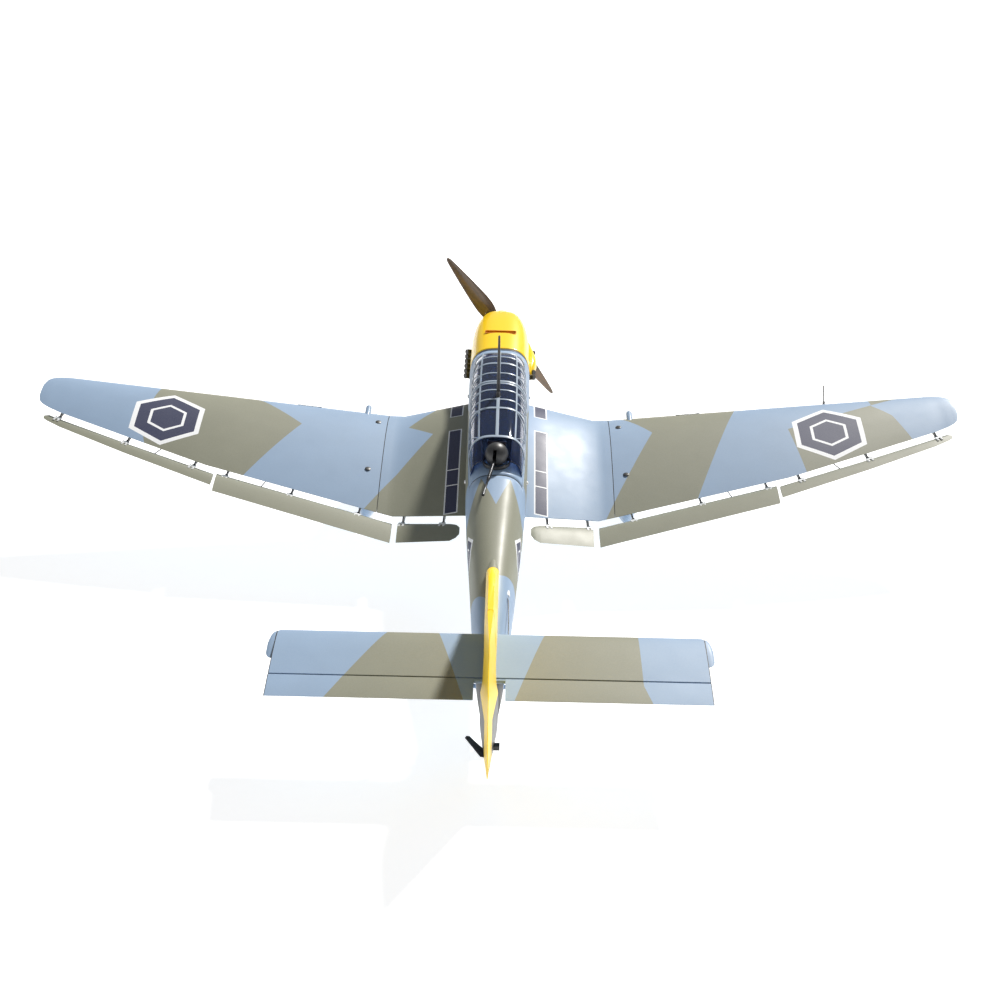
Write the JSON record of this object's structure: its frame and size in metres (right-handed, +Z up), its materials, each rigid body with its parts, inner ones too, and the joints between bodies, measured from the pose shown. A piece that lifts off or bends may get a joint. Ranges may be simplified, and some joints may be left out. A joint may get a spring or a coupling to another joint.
{
  "type": "rc warbird plane",
  "caption": "Large radio-controlled gull-wing dive bomber with spatted fixed gear, hung flaps and ailerons, long glazed canopy and two-blade propeller.",
  "frame": {"origin": "centre of the bounding box at ground level, the plane standing on its three wheels", "axes": "+Z up, nose towards -Y, left wing towards +X"},
  "size_m": [2.26, 1.8096, 0.5874],
  "materials": {
    "camouflage_skin": "satin film over balsa sheet",
    "yellow_tail_film": "satin film over balsa sheet",
    "yellow_mould": "gloss paint over moulded glass fibre",
    "grey_mould": "satin paint over moulded glass fibre",
    "plywood": "bare birch plywood",
    "walnut_propeller": "oiled and varnished",
    "machined_alloy": "machined",
    "steel": "ground",
    "black_fittings": "matt black",
    "tank_plastic": "translucent moulding",
    "tyre_rubber": "matt",
    "canopy_plastic": "clear vacuum-formed sheet",
    "lamp_lens": "clear lens"
  },
  "bodies": {
    "airframe": {"fuselage": "camouflage_skin", "firewall": "plywood", "engine_mount": "machined_alloy", "crankcase": "machined_alloy", "cylinder": "machined_alloy", "muffler": "steel", "cowl": "yellow_mould", "exhaust_stubs": "black_fittings", "intake_scoop": "yellow_mould", "chin_radiator": "yellow_mould", "fuel_tank": "tank_plastic", "radio_tray": "plywood", "radio_gear": "black_fittings", "servos": "black_fittings", "wing_center": "camouflage_skin", "wing_tubes": "machined_alloy", "wing_panel_left": "camouflage_skin", "wing_panel_right": "camouflage_skin", "joint_caps": "black_fittings", "hinge_arms": "black_fittings", "landing_lights": "lamp_lens", "pitot_tube": "steel", "sirens": "grey_mould", "gear_legs": "steel", "gear_trousers": "grey_mould", "wheel_spats": "grey_mould", "stabilizer": "camouflage_skin", "tail_struts": "camouflage_skin", "fin": "yellow_tail_film"},
    "hatch": {"hatch_deck": "camouflage_skin", "cockpit_tub": "black_fittings", "canopy_glazing": "canopy_plastic", "canopy_frames": "grey_mould", "aerial_mast": "black_fittings"},
    "gun_ball": {"gun_ball": "black_fittings"},
    "gun": {"gun": "black_fittings"},
    "propeller": {"propeller": "walnut_propeller", "spinner": "yellow_mould", "prop_shaft": "steel"},
    "aileron_left": {"aileron_left": "camouflage_skin"},
    "aileron_right": {"aileron_right": "camouflage_skin"},
    "outer_flap_left": {"outer_flap_left": "camouflage_skin"},
    "outer_flap_right": {"outer_flap_right": "camouflage_skin"},
    "inner_flap_left": {"inner_flap_left": "camouflage_skin"},
    "inner_flap_right": {"inner_flap_right": "camouflage_skin"},
    "elevators": {"elevator_left": "camouflage_skin", "elevator_right": "camouflage_skin"},
    "rudder": {"rudder": "yellow_tail_film"},
    "tail_fork": {"tail_fork": "black_fittings"},
    "tail_wheel": {"tail_wheel": "tyre_rubber"},
    "main_wheel_left": {"main_wheel_left": "tyre_rubber"},
    "main_wheel_right": {"main_wheel_right": "tyre_rubber"},
    "aileron_arm_left": {"aileron_arm_left": "steel"},
    "aileron_arm_right": {"aileron_arm_right": "steel"},
    "aileron_rod_left": {"aileron_rod_left": "steel"},
    "aileron_rod_right": {"aileron_rod_right": "steel"},
    "flap_arm_left": {"flap_arm_left": "steel"},
    "flap_arm_right": {"flap_arm_right": "steel"},
    "flap_rod_left": {"flap_rod_left": "steel"},
    "flap_rod_right": {"flap_rod_right": "steel"}
  },
  "joints": [
    {"name": "propeller_spin", "type": "hinge", "parent": "airframe", "child": "propeller", "pos_m": [0, -0.8168, 0.38393], "axis": [0, -0.983, 0.1834], "continuous": true},
    {"name": "aileron_left_hinge", "type": "hinge", "parent": "airframe", "child": "aileron_left", "pos_m": [0.837, -0.18845, 0.24834], "axis": [0.9333, -0.301, 0.1956], "range_deg": [-20, 20]},
    {"name": "aileron_arm_left_pivot", "type": "hinge", "parent": "airframe", "child": "aileron_arm_left", "pos_m": [0.78786, -0.31266, 0.29167], "axis": [0.9333, -0.301, 0.1956], "range_deg": [-20, 20]},
    {"name": "aileron_rod_left_pivot", "type": "hinge", "parent": "aileron_arm_left", "child": "aileron_rod_left", "pos_m": [0.79109, -0.31833, 0.26754], "axis": [0.9333, -0.301, 0.1956], "range_deg": [-20, 20]},
    {"name": "aileron_right_hinge", "type": "hinge", "parent": "airframe", "child": "aileron_right", "pos_m": [-0.837, -0.18845, 0.24834], "axis": [0.9333, 0.301, -0.1956], "range_deg": [-20, 20]},
    {"name": "aileron_arm_right_pivot", "type": "hinge", "parent": "airframe", "child": "aileron_arm_right", "pos_m": [-0.78786, -0.31266, 0.29167], "axis": [0.9333, 0.301, -0.1956], "range_deg": [-20, 20]},
    {"name": "aileron_rod_right_pivot", "type": "hinge", "parent": "aileron_arm_right", "child": "aileron_rod_right", "pos_m": [-0.79109, -0.31833, 0.26754], "axis": [0.9333, 0.301, -0.1956], "range_deg": [-20, 20]},
    {"name": "outer_flap_left_hinge", "type": "hinge", "parent": "airframe", "child": "outer_flap_left", "pos_m": [0.57, -0.11782, 0.19446], "axis": [-0.9619, 0.2044, -0.1816], "range_deg": [0, 45]},
    {"name": "flap_arm_left_pivot", "type": "hinge", "parent": "airframe", "child": "flap_arm_left", "pos_m": [0.52292, -0.29331, 0.24633], "axis": [-0.9619, 0.2044, -0.1816], "range_deg": [0, 45]},
    {"name": "flap_rod_left_pivot", "type": "hinge", "parent": "flap_arm_left", "child": "flap_rod_left", "pos_m": [0.52703, -0.29974, 0.21732], "axis": [-0.9619, 0.2044, -0.1816], "range_deg": [-45, 0]},
    {"name": "inner_flap_left_hinge", "type": "hinge", "parent": "airframe", "child": "inner_flap_left", "pos_m": [0.16, -0.02811, 0.14448], "axis": [-0.9583, 0.2485, 0.1408], "range_deg": [0, 45]},
    {"name": "outer_flap_right_hinge", "type": "hinge", "parent": "airframe", "child": "outer_flap_right", "pos_m": [-0.57, -0.11782, 0.19446], "axis": [-0.9619, -0.2044, 0.1816], "range_deg": [0, 45]},
    {"name": "flap_arm_right_pivot", "type": "hinge", "parent": "airframe", "child": "flap_arm_right", "pos_m": [-0.52292, -0.29331, 0.24633], "axis": [-0.9619, -0.2044, 0.1816], "range_deg": [0, 45]},
    {"name": "flap_rod_right_pivot", "type": "hinge", "parent": "flap_arm_right", "child": "flap_rod_right", "pos_m": [-0.52703, -0.29974, 0.21732], "axis": [-0.9619, -0.2044, 0.1816], "range_deg": [-45, 0]},
    {"name": "inner_flap_right_hinge", "type": "hinge", "parent": "airframe", "child": "inner_flap_right", "pos_m": [-0.16, -0.02811, 0.14448], "axis": [-0.9583, -0.2485, -0.1408], "range_deg": [0, 45]},
    {"name": "elevator_hinge", "type": "hinge", "parent": "airframe", "child": "elevators", "pos_m": [0, 0.73546, 0.18183], "axis": [1, 0, 0], "range_deg": [-25, 25]},
    {"name": "rudder_hinge", "type": "hinge", "parent": "airframe", "child": "rudder", "pos_m": [0, 0.75063, 0.11593], "axis": [0, 0.1834, 0.983], "range_deg": [-25, 25]},
    {"name": "tail_steer", "type": "hinge", "parent": "airframe", "child": "tail_fork", "pos_m": [0, 0.66492, 0.07089], "axis": [0, 0.1834, 0.983], "range_deg": [-25, 25]},
    {"name": "tail_wheel_spin", "type": "hinge", "parent": "tail_fork", "child": "tail_wheel", "pos_m": [0, 0.67614, 0.022], "axis": [1, 0, 0], "continuous": true},
    {"name": "main_wheel_left_spin", "type": "hinge", "parent": "airframe", "child": "main_wheel_left", "pos_m": [0.336, -0.49511, 0.0635], "axis": [1, 0, 0], "continuous": true},
    {"name": "main_wheel_right_spin", "type": "hinge", "parent": "airframe", "child": "main_wheel_right", "pos_m": [-0.336, -0.49511, 0.0635], "axis": [1, 0, 0], "continuous": true},
    {"name": "hatch_lift", "type": "slide", "parent": "airframe", "child": "hatch", "axis": [0, 0.1834, 0.983], "range_m": [0, 0.12]},
    {"name": "gun_yaw", "type": "hinge", "parent": "hatch", "child": "gun_ball", "pos_m": [0, 0.07235, 0.36251], "axis": [0, 0.1834, 0.983], "range_deg": [-10, 30]},
    {"name": "gun_pitch", "type": "hinge", "parent": "gun_ball", "child": "gun", "pos_m": [0, 0.07235, 0.36251], "axis": [0.9848, -0.1707, 0.0318], "range_deg": [-3, 25]}
  ],
  "couplings": [
    {"joint": "aileron_right_hinge", "follows": "aileron_left_hinge", "ratio": -1},
    {"joint": "aileron_arm_left_pivot", "follows": "aileron_left_hinge", "ratio": 1},
    {"joint": "aileron_arm_right_pivot", "follows": "aileron_left_hinge", "ratio": -1},
    {"joint": "aileron_rod_left_pivot", "follows": "aileron_left_hinge", "ratio": -1},
    {"joint": "aileron_rod_right_pivot", "follows": "aileron_left_hinge", "ratio": 1},
    {"joint": "outer_flap_right_hinge", "follows": "outer_flap_left_hinge", "ratio": 1},
    {"joint": "inner_flap_left_hinge", "follows": "outer_flap_left_hinge", "ratio": 1},
    {"joint": "inner_flap_right_hinge", "follows": "outer_flap_left_hinge", "ratio": 1},
    {"joint": "flap_arm_left_pivot", "follows": "outer_flap_left_hinge", "ratio": 1},
    {"joint": "flap_rod_left_pivot", "follows": "outer_flap_left_hinge", "ratio": -1},
    {"joint": "flap_arm_right_pivot", "follows": "outer_flap_left_hinge", "ratio": 1},
    {"joint": "flap_rod_right_pivot", "follows": "outer_flap_left_hinge", "ratio": -1},
    {"joint": "tail_steer", "follows": "rudder_hinge", "ratio": 1}
  ]
}
